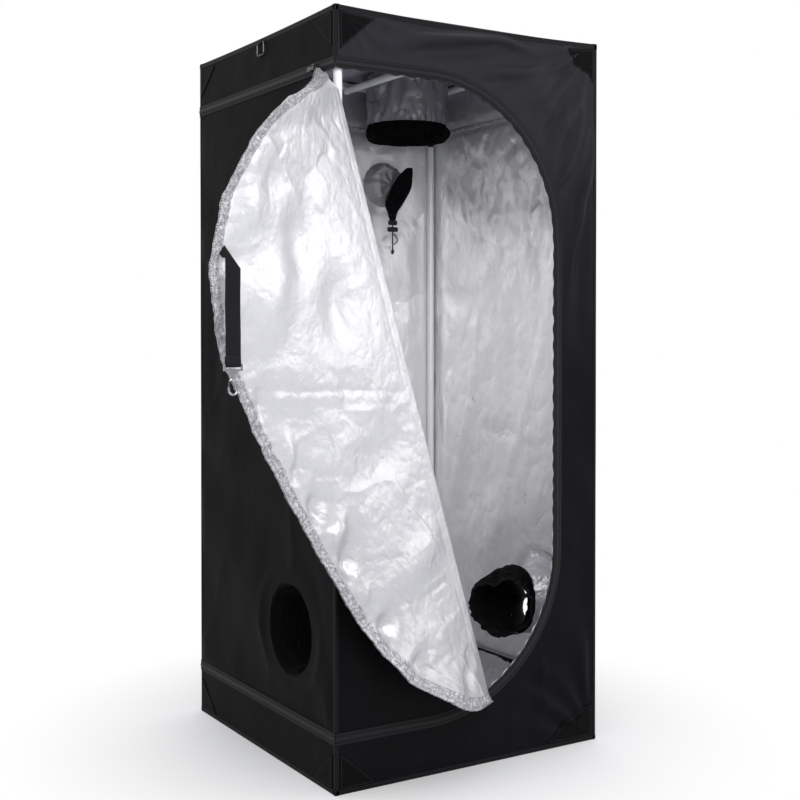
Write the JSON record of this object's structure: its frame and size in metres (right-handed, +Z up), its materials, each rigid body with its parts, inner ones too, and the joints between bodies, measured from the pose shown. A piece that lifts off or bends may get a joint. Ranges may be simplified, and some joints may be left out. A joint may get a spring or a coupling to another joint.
{
  "type": "indoor grow tent",
  "caption": "Box-shaped indoor grow tent on a tube frame, its zipped door folded open, with duct ports and sleeves, hanging bars and a spill tray.",
  "frame": {"origin": "middle of the floor's underside, where the tent stands on the ground", "axes": "+Z up; the front wall with the door looks along -Y and the door's side panel along -X"},
  "size_m": [0.9122, 0.7853, 1.4],
  "materials": {
    "frame_steel": "gloss",
    "corner_plastic": "satin",
    "lined_cloth": "woven",
    "silver_film": "shiny film",
    "zip_tape": "woven",
    "webbing": "woven",
    "bright_metal": "polished",
    "black_plastic": "satin",
    "draw_cord": "braided"
  },
  "bodies": {
    "tent": {"rail_bottom_front": "frame_steel", "rail_bottom_back": "frame_steel", "rail_bottom_left": "frame_steel", "rail_bottom_right": "frame_steel", "rail_top_front": "frame_steel", "rail_top_back": "frame_steel", "rail_top_left": "frame_steel", "rail_top_right": "frame_steel", "pole_lower_front_left": "frame_steel", "pole_lower_front_right": "frame_steel", "pole_lower_back_left": "frame_steel", "pole_lower_back_right": "frame_steel", "pole_upper_front_left": "frame_steel", "pole_upper_front_right": "frame_steel", "pole_upper_back_left": "frame_steel", "pole_upper_back_right": "frame_steel", "corner_bottom_front_left": "corner_plastic", "corner_bottom_front_right": "corner_plastic", "corner_bottom_back_left": "corner_plastic", "corner_bottom_back_right": "corner_plastic", "corner_top_front_left": "corner_plastic", "corner_top_front_right": "corner_plastic", "corner_top_back_left": "corner_plastic", "corner_top_back_right": "corner_plastic", "panel_roof": "lined_cloth", "panel_floor": "lined_cloth", "panel_back": "lined_cloth", "panel_right": "lined_cloth", "panel_front": "lined_cloth", "band_left_top": "lined_cloth", "band_left_bottom": "lined_cloth", "door_side_panel": "lined_cloth", "door_front_panel": "lined_cloth", "zip_front": "zip_tape", "zip_left_top": "zip_tape", "zip_left_bottom": "zip_tape", "sleeve_left": "lined_cloth", "sleeve_right": "lined_cloth", "sleeve_roof": "silver_film", "sleeve_roof_hem": "lined_cloth", "roof_cord_lock": "black_plastic", "sleeve_back": "silver_film", "sleeve_back_end": "lined_cloth", "draw_cord_straight": "draw_cord", "draw_cord_bow": "draw_cord"},
    "flap": {"door_flap": "silver_film"},
    "top_slider": {"slider_top": "bright_metal"},
    "top_tab": {"pull_tab_top": "bright_metal"},
    "bottom_slider": {"slider_bottom": "bright_metal"},
    "bottom_tab": {"pull_tab_bottom": "bright_metal"},
    "strap": {"door_strap": "webbing"},
    "eye": {"strap_eye": "bright_metal"},
    "hook": {"snap_hook": "bright_metal"},
    "gate": {"snap_gate": "bright_metal"},
    "left_bar": {"hanging_bar_left": "frame_steel"},
    "right_bar": {"hanging_bar_right": "frame_steel"},
    "tray": {"spill_tray": "silver_film"},
    "lock": {"cord_lock_body": "black_plastic"},
    "lock_button": {"cord_lock_button": "black_plastic"},
    "ring": {"tie_ring": "bright_metal"}
  },
  "joints": [
    {"name": "flap_fold", "type": "hinge", "parent": "tent", "child": "flap", "pos_m": [-0.30576, -0.3101, 1.24632], "axis": [-0.2805, 0, 0.9598], "range_deg": [0, 90]},
    {"name": "top_slider_run", "type": "slide", "parent": "tent", "child": "top_slider", "axis": [0, 1, 0], "range_m": [0, 0.48]},
    {"name": "top_tab_swing", "type": "hinge", "parent": "top_slider", "child": "top_tab", "pos_m": [-0.3085, -0.237, 1.298], "axis": [0, 0, 1], "range_deg": [0, 90]},
    {"name": "bottom_slider_run", "type": "hinge", "parent": "tent", "child": "bottom_slider", "pos_m": [-0.1, -0.3028, 0.4], "axis": [0, 1, 0], "range_deg": [0, 20.5]},
    {"name": "bottom_tab_swing", "type": "hinge", "parent": "bottom_slider", "child": "bottom_tab", "pos_m": [0.00608, -0.3085, 0.11938], "axis": [-0.3537, 0, 0.9354], "range_deg": [0, 35]},
    {"name": "strap_swing", "type": "hinge", "parent": "flap", "child": "strap", "pos_m": [-0.59033, -0.47763, 0.94488], "axis": [0, 1, 0], "range_deg": [-20, 10]},
    {"name": "eye_swing", "type": "hinge", "parent": "strap", "child": "eye", "pos_m": [-0.57653, -0.47763, 0.77258], "axis": [-1, 0, 0], "range_deg": [0, 45]},
    {"name": "hook_swivel", "type": "hinge", "parent": "eye", "child": "hook", "pos_m": [-0.57653, -0.47763, 0.75778], "axis": [0, 0, 1], "range_deg": [-90, 90]},
    {"name": "gate_turn", "type": "hinge", "parent": "hook", "child": "gate", "pos_m": [-0.58299, -0.47763, 0.74724], "axis": [0, -1, 0], "range_deg": [0, 25], "stiffness_Nm_per_rad": 0.002},
    {"name": "left_bar_run", "type": "slide", "parent": "tent", "child": "left_bar", "axis": [1, 0, 0], "range_m": [-0.06, 0.06]},
    {"name": "right_bar_run", "type": "slide", "parent": "tent", "child": "right_bar", "axis": [1, 0, 0], "range_m": [-0.07, 0]},
    {"name": "tray_lift", "type": "slide", "parent": "tent", "child": "tray", "axis": [0, 0, 1], "range_m": [0, 0.03]},
    {"name": "lock_run", "type": "slide", "parent": "tent", "child": "lock", "axis": [0, 0, -1], "range_m": [0, 0.004]},
    {"name": "lock_button_press", "type": "slide", "parent": "lock", "child": "lock_button", "axis": [0, 0, -1], "range_m": [0, 0.003], "stiffness_N_per_m": 300},
    {"name": "tie_ring_swing", "type": "hinge", "parent": "tent", "child": "ring", "pos_m": [-0.30425, -0.008, 1.388], "axis": [0, 1, 0], "range_deg": [0, 100]}
  ]
}
